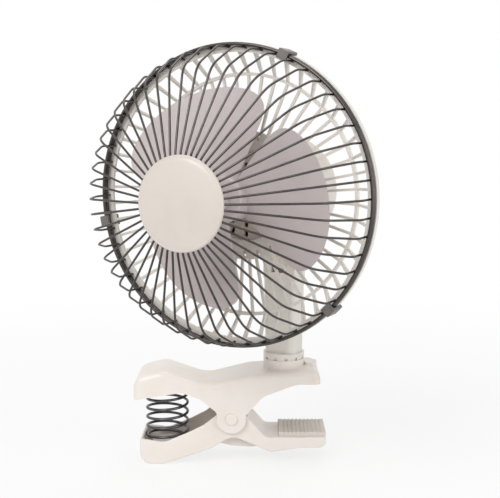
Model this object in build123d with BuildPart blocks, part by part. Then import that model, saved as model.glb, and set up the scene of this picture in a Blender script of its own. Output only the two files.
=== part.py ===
"""Clip fan: a caged fan on a swivelling, tilting neck, carried by a sprung two-handled clamp.

The origin is on the shelf's top face, under the middle of the upper jaw's pad. +X runs in over the
shelf, +Z is up, and the clamp's handles point along -X. At rest the fan faces forward, turned a
little towards the handles.
"""

import os
from math import cos, pi, radians, sin, sqrt, tan

from build123d import *

os.makedirs("parts", exist_ok=True)

# ---------------------------------------------------------------- driving dimensions, in millimetres and degrees

# The head over the clamp
axis_height = 152.6  # fan axis above the shelf's top face
neck_x = -19.2  # swivel axis, back from the middle of the upper pad
head_turn = 26.5  # from square to the clamp, round towards the handles
rim_reach = 91.9  # swivel axis to the plane between the front guard's two rim rings
tilt_drop = 57.0  # fan axis to tilt axis

# Clearances
seat_gap = 0.05  # pieces fastened face to face
joint_gap = 0.2  # pieces that meet edge to edge
turning_gap = 0.3  # faces that pass each other
running_fit = 0.04  # round the pins and shafts that turn
hole_fit = 0.02  # round the screws and pins that don't
weld_gap = 0.03

# Front guard, bent and welded wire
wire_count = 52
wire_size = 1.6
wire_phase = 1.0  # first wire, up from the level
guard_radius = 104.4  # centreline of a wire on its way back to the rim
dome_height = 68.0  # wires' level front ends before the rim plane
crown_radius = 44.0  # where the wires leave their level front ends
crown_slope = 33.5
crown_bend = 30.0
shoulder_bend = 42.0
wire_tail = 3.0  # wires run on behind the rim plane
wire_start = 24.0
rim_ring_size = 2.6
rim_ring_spacing = 2.8
centre_plate_radius = 30.0
centre_plate_thickness = 1.2

# Badge
badge_radius = 31.8
badge_edge = 2.0
badge_crown = 5.5
badge_wall = 1.8
badge_post_radius = 3.4
badge_post_circle = 15.0
badge_post_count = 3
badge_screw_length = 3.2

# Rear guard, one moulding
rear_rim_radius = 108.0
rear_rim_width = 6.6
rear_rim_depth = 4.8
rear_rim_wall = 2.0
middle_ring_radius = 87.0
middle_ring_setback = 22.0
middle_ring_width = 2.2
middle_ring_depth = 3.6
rib_width = 1.8
rib_depth = 2.2
centre_setback = 23.0  # middle of the centre flange behind the rim plane
centre_flange_radius = 47.0
centre_flange_bore = 33.0
centre_flange_thickness = 3.0
flange_slot_count = 24
flange_slot_circle = 42.7
flange_slot_length = 4.6
flange_slot_width = 2.6

# Clips that hold the two guards together
clip_after_wires = (9, 27, 45)
clip_width = 8.0
clip_wall = 1.8
clip_reach = 7.0

# Motor housing
housing_radius = 44.0
housing_wall = 2.5
cover_depth = 38.0
housing_length = 94.0  # cover's front face to the housing's rear face
housing_shoulder = 68.0
housing_rear_radius = 33.0
housing_front_corner = 3.0
housing_shoulder_bend = 24.0
housing_rear_bend = 8.0
spigot_length = 3.0
spigot_wall = 1.6
shaft_hole_radius = 4.5
vent_size = 3.2
vent_circle_radii = (15.5, 21.5, 28.5)
vent_circle_counts = (8, 12, 16)
post_radius = 3.9
guard_screw_circle = 36.6
guard_screw_count = 4
guard_screw_first = 45.0
guard_boss_depth = 12.0
housing_screw_circle = 38.2
housing_screw_angles = (0.0, 90.0, 180.0)
housing_screw_floor = 5.0
motor_post_spread = 24.5
rear_vent_circle = 22.0
rear_vent_length = 9.0
rear_vent_width = 2.6
rear_vent_count = 16
lug_width = 12.2
lug_radius = 9.0
lug_spread = 13.0

# Screws
screw_radius = 1.6
screw_head_radius = 3.0
screw_head_height = 2.0
screw_length = 9.0
long_screw_length = 18.0

# Motor
shaft_radius = 2.5
shaft_flat = 0.6
bush_radius = 5.0
bush_length = 8.0
bracket_thickness = 2.0
bracket_width = 15.0
bracket_setback = 20.0  # cover's front face to the front bracket
bracket_spacing = 31.0
bracket_foot_radius = 3.4
stack_depth = 18.0
stack_width = 56.0
stack_top = 19.0
stack_bottom = 28.0
stack_bar = 6.0
window_width = 35.0
window_height = 6.6
bore_radius = 14.6
air_gap = 0.5
rotor_length = 20.0
winding_width = 26.0
winding_build = 4.2
bobbin_wall = 1.0
thrust_washer_radius = 4.4
thrust_washer_thickness = 0.8

# Blades
blade_count = 3
blade_radius = 79.0
blade_plane = 6.0  # middle of the blades before the rim plane
blade_thickness = 1.8
blade_first = 4.0
blade_root_spread = 59.0
blade_tip_spread = 52.0
blade_corner = 22.0
blade_station_radii = (6.0, 30.0, 54.0, 82.0)
blade_pitches = (34.0, 25.0, 18.5, 16.0)
blade_camber = 3.0
hub_radius = 17.0
hub_length = 24.0
hub_wall = 2.2
hub_boss_radius = 6.0
hub_corner = 2.5
nut_radius = 8.0
nut_length = 9.0
nut_thread = 6.0

# Neck and tilt joint
seat_height = 18.2  # top of the clamp's swivel seat
foot_radius = 16.3
foot_height = 5.0
spigot_radius = 6.0
notch_count = 12
notch_width = 2.6
notch_depth = 1.4
notch_height = 1.9
column_width = 27.0
column_depth = 22.0
column_corner = 7.0
fork_width = 28.6
fork_depth = 20.0
fork_corner = 4.0
fork_slot = 14.0
fork_slot_radius = 12.6
tilt_washer_radius = 7.0
tilt_bolt_radius = 3.0
tilt_head_radius = 5.2
tilt_head_height = 3.0
tilt_sink = 2.2
neck_pocket_width = 13.0
neck_pocket_depth = 9.0
neck_pocket_bottom = 30.0
neck_pocket_top = 73.0
swivel_screw_radius = 2.5
swivel_screw_length = 20.0
swivel_head_radius = 5.0
swivel_head_height = 2.6
swivel_washer_radius = 8.4
swivel_washer_thickness = 1.0
swivel_floor = 10.4  # the seat's underside, round the spigot
stop_lug_length = 9.6
stop_lug_width = 12.0
stop_lug_height = 15.0

# Clamp
pivot_x = -61.0
pivot_z = -26.3
handle_end = -138.0
nose_x = 9.0
mouth_height = 1.6
ear_radius = 11.4
clamp_width = 50.0
clamp_wall = 3.0
front_pocket_x = -36.0  # pocket in the upper jaw, between the pivot and the swivel seat
front_pocket_length = 14.0
front_pocket_top = 7.0
clamp_edge = 4.5
lower_width = 43.2
lower_wall = 2.6
lower_end = -133.5
lower_nose = 13.8
lower_ear_radius = 9.9
lower_ear_boss = 6.0
lower_face = -42.0  # under the lower pad
pad_recess = 0.4
pad_width = 36.0
pad_length = 16.4
upper_pad_thickness = 2.0
lower_pad_length = 37.2
lower_pad_thickness = 3.5
groove_width = 1.2
groove_depth = 0.6
groove_pitch = 3.2
pin_radius = 3.0
pin_head_radius = 4.6
pin_head_height = 1.6
pin_tail = 3.2
push_nut_radius = 5.6
push_nut_thickness = 0.8

# Clamp spring
spring_x = -113.2
spring_wire = 2.2
spring_diameter = 34.8
spring_half_turns = 11
spring_bend = 3.0  # the coil's ends turn up and down into straight tips
spring_top = -2.8
spring_bottom = -54.4
spring_seat_gap = 0.3
spring_seat_radius = 18.4
spring_guide_radius = 12.5
spring_guide_height = 5.0

# Switch, knob and cord inlet
knob_radius = 10.0
knob_length = 9.0
knob_flutes = 16
knob_flute_radius = 1.4
pointer_width = 1.4
switch_width = 20.0
switch_height = 13.0
switch_depth = 11.0
stem_radius = 3.0
stem_bite = 6.0
inlet_drop = 20.0
inlet_radius = 5.0
inlet_flange_radius = 6.6
inlet_bore = 3.2
inlet_length = 7.0

# ---------------------------------------------------------------- planes and axes of the head

turn = radians(head_turn)
fan = Plane(
    origin=(neck_x, 0, axis_height), x_dir=(cos(turn), -sin(turn), 0), z_dir=(-sin(turn), -cos(turn), 0)
)


def ahead(distance):
    """Plane square to the fan axis, a distance in front of the guard's rim plane."""
    return fan.offset(rim_reach + distance)


rim = ahead(0)
fan_axis = Axis(rim.origin, fan.z_dir)
# A half section of the head: x is the radius, upwards, and y is the distance in front of the rim plane.
section = Plane(origin=rim.origin, x_dir=fan.y_dir, z_dir=fan.x_dir)
tilt_centre = Vector(neck_x, 0, axis_height - tilt_drop)
# Across the tilt joint: x is forward, y is down, and the normal lies along the tilt axis.
tilt_side = Plane(origin=tilt_centre, x_dir=fan.z_dir, z_dir=fan.x_dir)


def neck_plane(height):
    """Level plane on the swivel axis, turned with the head: x is across the fan and y is behind it."""
    return Plane(origin=(neck_x, 0, height), x_dir=fan.x_dir, z_dir=(0, 0, 1))


def repeated(piece, count, first=0.0):
    """Copies of a piece at equal steps round the fan axis."""
    return [piece.rotate(fan_axis, first + 360 * number / count) for number in range(count)]


def pan_screw(seats, radius, length, head_radius, head_height):
    """Screws whose heads stand on the given planes, with their shanks behind the planes."""
    with BuildPart() as screws:
        with BuildSketch(*seats):
            Circle(head_radius)
        extrude(amount=head_height)
        with BuildSketch(*seats):
            Circle(radius)
        extrude(amount=-length)
        with BuildSketch(*[seat.offset(head_height) for seat in seats]):
            Rectangle(head_radius * 1.1, head_radius * 0.3)
            Rectangle(head_radius * 0.3, head_radius * 1.1)
        extrude(amount=-head_height * 0.6, mode=Mode.SUBTRACT)
    return screws


def on_circle(plane, radius, angles):
    """Planes like the given one, centred at angles on a circle round its origin."""
    places = [plane.from_local_coords(Vector(radius, 0).rotate(Axis.Z, angle)) for angle in angles]
    return [Plane(origin=place, x_dir=plane.x_dir, z_dir=plane.z_dir) for place in places]


# ---------------------------------------------------------------- front guard

shoulder_height = dome_height - (guard_radius - crown_radius) * tan(radians(crown_slope))

with BuildPart() as guard_wire:
    with BuildLine(section) as wire_line:
        FilletPolyline(
            (wire_start, dome_height),
            (crown_radius, dome_height),
            (guard_radius, shoulder_height),
            (guard_radius, -wire_tail),
            radius=(crown_bend, shoulder_bend),
        )
    with BuildSketch(Plane(origin=wire_line.line @ 0, x_dir=fan.x_dir, z_dir=wire_line.line % 0)):
        RegularPolygon(radius=wire_size / 2, side_count=6)
    sweep()

with BuildPart() as front_guard_wires:
    add(repeated(guard_wire.part, wire_count, wire_phase))

rim_ring_radius = guard_radius + wire_size / 2 + rim_ring_size / 2 + weld_gap

with BuildPart() as guard_rim_rings:
    with BuildSketch(section):
        with Locations((rim_ring_radius, rim_ring_spacing / 2), (rim_ring_radius, -rim_ring_spacing / 2)):
            RegularPolygon(radius=rim_ring_size / 2, side_count=8)
    revolve(axis=fan_axis)

plate_front = dome_height - wire_size / 2 - weld_gap
plate_back = plate_front - centre_plate_thickness
post_angles = [90 + 360 * number / badge_post_count for number in range(badge_post_count)]

with BuildPart() as guard_centre_plate:
    with BuildSketch(ahead(plate_front)):
        Circle(centre_plate_radius)
        with PolarLocations(badge_post_circle, badge_post_count, start_angle=90):
            Circle(screw_radius + hole_fit, mode=Mode.SUBTRACT)
    extrude(amount=-centre_plate_thickness)

# ---------------------------------------------------------------- badge

badge_back = dome_height + wire_size / 2 + weld_gap
badge_top = badge_back + badge_crown

with BuildPart() as front_badge:
    with BuildSketch(section):
        with BuildLine():
            RadiusArc(
                (0, badge_top),
                (badge_radius, badge_back + badge_edge),
                (badge_radius**2 + (badge_crown - badge_edge) ** 2) / (2 * (badge_crown - badge_edge)),
            )
            Polyline(
                (badge_radius, badge_back + badge_edge),
                (badge_radius, badge_back),
                (badge_radius - badge_wall, badge_back),
                (0, badge_top - badge_wall),
                (0, badge_top),
            )
        make_face()
    revolve(axis=fan_axis)
    with BuildSketch(ahead(plate_front + seat_gap)):
        with PolarLocations(badge_post_circle, badge_post_count, start_angle=90):
            Circle(badge_post_radius)
    extrude(amount=badge_top - badge_wall - plate_front - 1)
    with BuildSketch(ahead(plate_front)):
        with PolarLocations(badge_post_circle, badge_post_count, start_angle=90):
            Circle(screw_radius + hole_fit)
    extrude(amount=badge_top - 2 * badge_wall - plate_front - 1, mode=Mode.SUBTRACT)

badge_screw_seats = [
    Plane(origin=seat.origin, x_dir=seat.x_dir, z_dir=-fan.z_dir)
    for seat in on_circle(ahead(plate_back - seat_gap), badge_post_circle, post_angles)
]
badge_screws = pan_screw(
    badge_screw_seats, screw_radius, badge_screw_length, screw_head_radius, screw_head_height
)

# ---------------------------------------------------------------- rear guard

rear_rim_front = -wire_tail - joint_gap
rear_rim_back = rear_rim_front - rear_rim_depth
rear_rim_inside = rear_rim_radius - rear_rim_width
flange_front = -centre_setback + centre_flange_thickness / 2
flange_back = -centre_setback - centre_flange_thickness / 2
guard_screw_angles = [guard_screw_first + 360 * number / guard_screw_count for number in range(guard_screw_count)]

with BuildPart() as guard_rib:
    with BuildSketch(section):
        Polygon(
            (centre_flange_radius - 1, -centre_setback - rib_depth / 2),
            (middle_ring_radius, -middle_ring_setback - rib_depth / 2),
            (rear_rim_radius - rear_rim_wall, rear_rim_front - rear_rim_wall),
            (rear_rim_inside + 1, rear_rim_front),
            (middle_ring_radius, -middle_ring_setback + rib_depth / 2),
            (centre_flange_radius - 1, -centre_setback + rib_depth / 2),
            align=None,
        )
    extrude(amount=rib_width / 2, both=True)

with BuildPart() as rear_guard:
    with BuildSketch(section):
        with BuildLine():
            Polyline(
                (rear_rim_inside, rear_rim_front),
                (rear_rim_radius, rear_rim_front),
                (rear_rim_radius, rear_rim_back),
                (rear_rim_radius - rear_rim_wall, rear_rim_back),
                (rear_rim_radius - rear_rim_wall, rear_rim_front - rear_rim_wall),
                (rear_rim_inside, rear_rim_front - rear_rim_wall),
                close=True,
            )
        make_face()
        with Locations((middle_ring_radius, -middle_ring_setback)):
            Rectangle(middle_ring_width, middle_ring_depth)
        with Locations(((centre_flange_radius + centre_flange_bore) / 2, -centre_setback)):
            Rectangle(centre_flange_radius - centre_flange_bore, centre_flange_thickness)
    revolve(axis=fan_axis)
    add(repeated(guard_rib.part, wire_count, wire_phase + 180 / wire_count))
    with BuildSketch(ahead(flange_front)):
        with PolarLocations(flange_slot_circle, flange_slot_count):
            SlotOverall(flange_slot_length, flange_slot_width)
        with PolarLocations(guard_screw_circle, guard_screw_count, start_angle=guard_screw_first):
            Circle(screw_radius + hole_fit)
    extrude(amount=-centre_flange_thickness, mode=Mode.SUBTRACT)

cover_front = flange_back - seat_gap
guard_screws = pan_screw(
    on_circle(ahead(flange_front + seat_gap), guard_screw_circle, guard_screw_angles),
    screw_radius,
    screw_length,
    screw_head_radius,
    screw_head_height,
)

# ---------------------------------------------------------------- clips between the guards

clip_inside = rear_rim_radius + joint_gap
clip_outside = clip_inside + clip_wall
clip_front = rim_ring_spacing / 2 + rim_ring_size / 2 + joint_gap
clip_back = rear_rim_back - joint_gap

with BuildPart() as guard_clip:
    with BuildSketch(section):
        with BuildLine():
            Polyline(
                (clip_outside - clip_reach, clip_front),
                (clip_inside, clip_front),
                (clip_inside, clip_back),
                (clip_outside - clip_reach, clip_back),
                (clip_outside - clip_reach, clip_back - clip_wall),
                (clip_outside, clip_back - clip_wall),
                (clip_outside, clip_front + clip_wall),
                (clip_outside - clip_reach, clip_front + clip_wall),
                close=True,
            )
        make_face()
    extrude(amount=clip_width / 2, both=True)
    fillet(guard_clip.faces().sort_by(Axis(rim.origin, fan.y_dir))[-1].edges().filter_by(fan_axis), clip_wall / 2)

with BuildPart() as guard_clips:
    for clip_after in clip_after_wires:
        # The section stands straight up, a quarter turn round from the first wire.
        clip_angle = wire_phase + (clip_after + 0.5) * 360 / wire_count - 90
        add(guard_clip.part.rotate(fan_axis, clip_angle))

# ---------------------------------------------------------------- motor housing

cover_back = cover_front - cover_depth
housing_front = cover_back - joint_gap
housing_rear = cover_front - housing_length
housing_inside = housing_radius - housing_wall
bracket_front = cover_front - bracket_setback
rear_bracket_front = bracket_front - bracket_spacing
motor_post_angles = (0.0, 180.0)

with BuildPart() as motor_cover:
    with BuildSketch(section):
        with BuildLine():
            FilletPolyline(
                (shaft_hole_radius, cover_front),
                (housing_radius, cover_front),
                (housing_radius, cover_back),
                radius=housing_front_corner,
            )
            Polyline(
                (housing_radius, cover_back),
                (housing_inside, cover_back),
                (housing_inside, cover_front - housing_wall),
                (shaft_hole_radius, cover_front - housing_wall),
                (shaft_hole_radius, cover_front),
            )
        make_face()
    revolve(axis=fan_axis)
    with BuildSketch(ahead(cover_front)):
        for vent_circle, vent_count in zip(vent_circle_radii, vent_circle_counts):
            with PolarLocations(vent_circle, vent_count):
                SlotOverall(vent_size * 1.4, vent_size)
    extrude(amount=-housing_wall, mode=Mode.SUBTRACT)
    with BuildSketch(ahead(cover_front - housing_wall)):
        with Locations((motor_post_spread, 0), (-motor_post_spread, 0)):
            Circle(post_radius)
    extrude(amount=bracket_front + seat_gap - (cover_front - housing_wall))
    with BuildSketch(ahead(cover_front - housing_wall)):
        with PolarLocations(guard_screw_circle, guard_screw_count, start_angle=guard_screw_first):
            Circle(post_radius)
    extrude(amount=housing_wall - guard_boss_depth)
    with BuildSketch(ahead(cover_front - housing_wall)):
        for screw_angle in housing_screw_angles:
            with PolarLocations(housing_screw_circle, 1, start_angle=screw_angle):
                Circle(post_radius)
    extrude(amount=housing_wall - cover_depth)
    with BuildSketch(ahead(cover_back)):
        for screw_angle in housing_screw_angles:
            with PolarLocations(housing_screw_circle, 1, start_angle=screw_angle):
                Circle(screw_radius + hole_fit)
    extrude(amount=long_screw_length, mode=Mode.SUBTRACT)
    with BuildSketch(ahead(cover_front)):
        with PolarLocations(guard_screw_circle, guard_screw_count, start_angle=guard_screw_first):
            Circle(screw_radius + hole_fit)
    extrude(amount=-screw_length, mode=Mode.SUBTRACT)
    with BuildSketch(ahead(bracket_front)):
        with Locations((motor_post_spread, 0), (-motor_post_spread, 0)):
            Circle(screw_radius + hole_fit)
    extrude(amount=screw_length, mode=Mode.SUBTRACT)

with BuildPart() as housing_outside:
    with BuildSketch(section):
        with BuildLine():
            FilletPolyline(
                (housing_radius, housing_front),
                (housing_radius, cover_front - housing_shoulder),
                (housing_rear_radius, housing_rear),
                (0, housing_rear),
                radius=(housing_shoulder_bend, housing_rear_bend),
            )
            Polyline((0, housing_rear), (0, housing_front), (housing_radius, housing_front))
        make_face()
    revolve(axis=fan_axis)

with BuildPart() as housing_cavity:
    with BuildSketch(section):
        with BuildLine():
            FilletPolyline(
                (housing_inside, housing_front),
                (housing_inside, cover_front - housing_shoulder),
                (housing_rear_radius - housing_wall, housing_rear + housing_wall),
                (0, housing_rear + housing_wall),
                radius=(housing_shoulder_bend - housing_wall, housing_rear_bend - housing_wall),
            )
            Polyline((0, housing_rear + housing_wall), (0, housing_front), (housing_inside, housing_front))
        make_face()
    revolve(axis=fan_axis)
    with BuildSketch(ahead(housing_front)):
        for screw_angle in housing_screw_angles:
            with PolarLocations(housing_screw_circle, 1, start_angle=screw_angle):
                Circle(post_radius)
    extrude(amount=-housing_length, mode=Mode.SUBTRACT)

housing_screw_seat = housing_front - housing_screw_floor
rear_vents_kept = [number for number in range(rear_vent_count) if number != rear_vent_count * 3 // 4]

with BuildPart() as motor_housing:
    add(housing_outside.part)
    with BuildSketch(tilt_side):
        Circle(lug_radius)
        Polygon(
            (-lug_radius, 0),
            (lug_radius, 0),
            (lug_spread, -tilt_drop + housing_radius),
            (lug_spread, -tilt_drop + housing_rear_radius),
            (-lug_spread, -tilt_drop + housing_rear_radius),
            (-lug_spread, -tilt_drop + housing_radius),
            align=None,
        )
    extrude(amount=lug_width / 2, both=True)
    add(housing_cavity.part, mode=Mode.SUBTRACT)
    with BuildSketch(tilt_side):
        Circle(tilt_bolt_radius + running_fit)
    extrude(amount=lug_width / 2, both=True, mode=Mode.SUBTRACT)
    with BuildSketch(ahead(housing_front - 2 * spigot_length)):
        Circle(housing_inside)
        Circle(housing_inside - spigot_wall, mode=Mode.SUBTRACT)
    extrude(amount=2 * spigot_length)
    with BuildSketch(ahead(housing_front)):
        Circle(housing_inside - joint_gap)
        Circle(housing_inside - spigot_wall, mode=Mode.SUBTRACT)
        for screw_angle in housing_screw_angles:
            with PolarLocations(housing_screw_circle, 1, start_angle=screw_angle):
                Circle(post_radius + joint_gap, mode=Mode.SUBTRACT)
    extrude(amount=spigot_length)
    with BuildSketch(ahead(housing_front)):
        for screw_angle in housing_screw_angles:
            with PolarLocations(housing_screw_circle, 1, start_angle=screw_angle):
                Circle(screw_radius + hole_fit)
    extrude(amount=-housing_screw_floor, mode=Mode.SUBTRACT)
    with BuildSketch(ahead(housing_screw_seat)):
        for screw_angle in housing_screw_angles:
            with PolarLocations(housing_screw_circle, 1, start_angle=screw_angle):
                Circle(screw_head_radius + joint_gap)
    extrude(amount=-housing_length, mode=Mode.SUBTRACT)
    with BuildSketch(ahead(housing_rear)):
        with PolarLocations(rear_vent_circle, rear_vent_count) as vents:
            rear_vents = [vents.locations[number] for number in rear_vents_kept]
        with Locations(*rear_vents):
            SlotOverall(rear_vent_length, rear_vent_width)
        Circle(stem_radius + running_fit)
        with Locations((0, -inlet_drop)):
            Circle(inlet_radius + hole_fit)
    extrude(amount=housing_wall, mode=Mode.SUBTRACT)

housing_screws = pan_screw(
    [
        Plane(origin=seat.origin, x_dir=seat.x_dir, z_dir=-fan.z_dir)
        for seat in on_circle(ahead(housing_screw_seat - seat_gap), housing_screw_circle, housing_screw_angles)
    ],
    screw_radius,
    long_screw_length,
    screw_head_radius,
    screw_head_height,
)

# ---------------------------------------------------------------- switch, knob and cord inlet

switch_back = housing_rear + housing_wall + seat_gap

with BuildPart() as speed_switch:
    with BuildSketch(ahead(switch_back)):
        RectangleRounded(switch_width, switch_height, 1)
    extrude(amount=switch_depth)
    with BuildSketch(ahead(switch_back)):
        Circle(stem_radius + running_fit)
    extrude(amount=stem_bite + turning_gap, mode=Mode.SUBTRACT)
    with BuildSketch(ahead(switch_back + switch_depth)):
        with GridLocations(switch_width / 4, 1, 3, 1):
            Rectangle(0.8, 4)
    extrude(amount=4)

knob_front = housing_rear - turning_gap
knob_back = knob_front - knob_length

with BuildPart() as switch_stem:
    with BuildSketch(ahead(switch_back + stem_bite)):
        Circle(stem_radius)
    extrude(amount=knob_back + knob_length / 3 - switch_back - stem_bite)

with BuildPart() as speed_knob:
    with BuildSketch(ahead(knob_front)):
        Circle(knob_radius)
    extrude(amount=-knob_length, taper=4)
    fillet(speed_knob.faces().sort_by(fan_axis)[0].edges(), 1.2)
    with BuildSketch(ahead(knob_front - 2)):
        with PolarLocations(knob_radius + knob_flute_radius * 0.3, knob_flutes):
            Circle(knob_flute_radius)
    extrude(amount=-knob_length, mode=Mode.SUBTRACT)
    with BuildSketch(ahead(knob_front)):
        Circle(stem_radius + hole_fit)
    extrude(amount=-knob_length * 2 / 3 - joint_gap, mode=Mode.SUBTRACT)
    with BuildSketch(ahead(knob_back)):
        with Locations((0, knob_radius * 0.55)):
            Rectangle(pointer_width, knob_radius * 0.5)
    extrude(amount=pointer_width / 2, mode=Mode.SUBTRACT)

with BuildPart() as cord_inlet:
    with BuildSketch(ahead(housing_rear - seat_gap)):
        with Locations((0, -inlet_drop)):
            Circle(inlet_flange_radius)
    extrude(amount=housing_wall - inlet_length)
    fillet(cord_inlet.faces().sort_by(fan_axis)[0].edges(), 1.2)
    with BuildSketch(ahead(housing_rear - seat_gap)):
        with Locations((0, -inlet_drop)):
            Circle(inlet_radius)
    extrude(amount=housing_wall)
    with BuildSketch(ahead(housing_rear - inlet_length)):
        with Locations((0, -inlet_drop)):
            Circle(inlet_bore)
    extrude(amount=2 * inlet_length, mode=Mode.SUBTRACT)

# ---------------------------------------------------------------- motor

stack_front = (bracket_front + rear_bracket_front - bracket_thickness + stack_depth) / 2
stack_back = stack_front - stack_depth
bracket_feet = [(motor_post_spread, 0), (-motor_post_spread, 0)]


def bearing_bracket(front, foot_height):
    """Bridge plate with the bush's hole in its middle and a foot at each end that stands on the stack."""
    with BuildPart() as bracket:
        with BuildSketch(ahead(front)):
            RectangleRounded(2 * (motor_post_spread + bracket_foot_radius), bracket_width, bracket_foot_radius)
        extrude(amount=-bracket_thickness)
        with BuildSketch(ahead(front - bracket_thickness / 2)):
            Circle(bush_radius + bracket_thickness)
        extrude(amount=bush_length * 0.35, both=True)
        with BuildSketch(ahead(front - bracket_thickness / 2)):
            with Locations(*bracket_feet):
                Circle(bracket_foot_radius)
        extrude(amount=foot_height)
        with BuildSketch(ahead(front)):
            Circle(bush_radius + hole_fit)
            with Locations(*bracket_feet):
                Circle(screw_radius + hole_fit)
        extrude(amount=stack_depth, both=True, mode=Mode.SUBTRACT)
    return bracket


foot_length = bracket_front - bracket_thickness / 2 - stack_front - seat_gap
front_bracket = bearing_bracket(bracket_front, -foot_length)
rear_bracket = bearing_bracket(rear_bracket_front, foot_length)


def bearing_bush(middle):
    """Plain bush round the shaft."""
    with BuildPart() as bush:
        with BuildSketch(ahead(middle)):
            Circle(bush_radius)
            Circle(shaft_radius + running_fit, mode=Mode.SUBTRACT)
        extrude(amount=bush_length / 2, both=True)
    return bush


front_bush_middle = bracket_front - bracket_thickness / 2
rear_bush_middle = rear_bracket_front - bracket_thickness / 2
front_bush = bearing_bush(front_bush_middle)
rear_bush = bearing_bush(rear_bush_middle)

window_top = -stack_bottom + stack_bar + window_height

with BuildPart() as stator_core:
    with BuildSketch(ahead(stack_front)):
        with Locations((0, (stack_top - stack_bottom) / 2)):
            RectangleRounded(stack_width, stack_top + stack_bottom, 3)
        Circle(bore_radius, mode=Mode.SUBTRACT)
        with Locations((0, window_top - window_height / 2)):
            Rectangle(window_width, window_height, mode=Mode.SUBTRACT)
        with Locations(*bracket_feet):
            Circle(screw_radius + hole_fit, mode=Mode.SUBTRACT)
    extrude(amount=-stack_depth)

bar_middle = -stack_bottom + stack_bar / 2
stack_middle = (stack_front + stack_back) / 2
# Across the coil: x is up and y is forward, from the middle of the bar that the coil goes round.
coil_plane = Plane(
    origin=ahead(stack_middle).from_local_coords((0, bar_middle, 0)), x_dir=fan.y_dir, z_dir=fan.x_dir
)
bobbin_height = stack_bar + 2 * bobbin_wall
bobbin_depth = stack_depth + 2 * bobbin_wall

with BuildPart() as coil_bobbin:
    with BuildSketch(coil_plane):
        Rectangle(bobbin_height, bobbin_depth)
    extrude(amount=winding_width / 2, both=True)
    with BuildSketch(coil_plane.offset(winding_width / 2), coil_plane.offset(-winding_width / 2 - bobbin_wall)):
        RectangleRounded(bobbin_height + 2 * winding_build, bobbin_depth + 2 * winding_build, 2)
    extrude(amount=bobbin_wall)
    with BuildSketch(coil_plane):
        Rectangle(stack_bar + 2 * hole_fit, stack_depth + 2 * hole_fit)
    extrude(amount=winding_width, both=True, mode=Mode.SUBTRACT)

with BuildPart() as coil_winding:
    with BuildSketch(coil_plane):
        RectangleRounded(bobbin_height + 1.8 * winding_build, bobbin_depth + 1.8 * winding_build, 4)
        Rectangle(bobbin_height + 2 * hole_fit, bobbin_depth + 2 * hole_fit, mode=Mode.SUBTRACT)
    extrude(amount=winding_width / 2 - hole_fit, both=True)

motor_screw_seat = rear_bracket_front - bracket_thickness - seat_gap
motor_screws = pan_screw(
    [
        Plane(origin=seat.origin, x_dir=seat.x_dir, z_dir=-fan.z_dir)
        for seat in on_circle(ahead(motor_screw_seat), motor_post_spread, motor_post_angles)
    ],
    screw_radius,
    bracket_front - motor_screw_seat + screw_length - 1,
    screw_head_radius,
    screw_head_height,
)

# ---------------------------------------------------------------- blades, shaft and rotor

hub_back = blade_plane - hub_length / 2 - 2
hub_front = hub_back + hub_length
shaft_front = hub_front + nut_thread
shaft_back = rear_bush_middle - bush_length / 2 - 2
flat_height = shaft_radius - shaft_flat


def flatted(clearance):
    """Shaft section with a flat, let out by a clearance."""
    with BuildSketch() as outline:
        Circle(shaft_radius + clearance)
        with Locations((0, flat_height + clearance)):
            Rectangle(4 * shaft_radius, 4 * shaft_radius, align=(Align.CENTER, Align.MIN), mode=Mode.SUBTRACT)
    return outline.sketch


with BuildPart() as motor_shaft:
    with BuildSketch(ahead(shaft_back)):
        Circle(shaft_radius)
    extrude(amount=hub_back - shaft_back)
    with BuildSketch(ahead(hub_back)):
        add(flatted(0))
    extrude(amount=shaft_front - hub_back)
    chamfer(motor_shaft.faces().sort_by(fan_axis)[-1].edges(), 0.4)

with BuildPart() as blade_sheet:
    for distance, pitch in zip(blade_station_radii, blade_pitches):
        pitch_angle = radians(pitch)
        station = Plane(
            origin=ahead(blade_plane).from_local_coords((distance, 0, 0)),
            x_dir=fan.y_dir * cos(pitch_angle) + fan.z_dir * sin(pitch_angle),
            z_dir=fan.x_dir,
        )
        with BuildSketch(station):
            with BuildLine():
                ThreePointArc(
                    (-blade_radius, blade_thickness),
                    (0, blade_thickness + blade_camber),
                    (blade_radius, blade_thickness),
                )
                Line((blade_radius, blade_thickness), (blade_radius, 0))
                ThreePointArc((blade_radius, 0), (0, blade_camber), (-blade_radius, 0))
                Line((-blade_radius, 0), (-blade_radius, blade_thickness))
            make_face()
    loft()

root_edge = radians(blade_root_spread)
tip_edge = radians(blade_tip_spread)

with BuildPart() as blade:
    with BuildSketch(ahead(blade_plane)) as blade_outline:
        with BuildLine():
            Polyline(
                (blade_radius * cos(tip_edge), blade_radius * sin(tip_edge)),
                (hub_radius * cos(root_edge), hub_radius * sin(root_edge)),
                (hub_radius * cos(root_edge), -hub_radius * sin(root_edge)),
                (blade_radius * cos(tip_edge), -blade_radius * sin(tip_edge)),
            )
            ThreePointArc(
                (blade_radius * cos(tip_edge), -blade_radius * sin(tip_edge)),
                (blade_radius, 0),
                (blade_radius * cos(tip_edge), blade_radius * sin(tip_edge)),
            )
        make_face()
        fillet(blade_outline.vertices().sort_by(Axis(rim.origin, fan.x_dir))[-2:], blade_corner)
    extrude(amount=blade_radius, both=True)
    add(blade_sheet.part, mode=Mode.INTERSECT)

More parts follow.
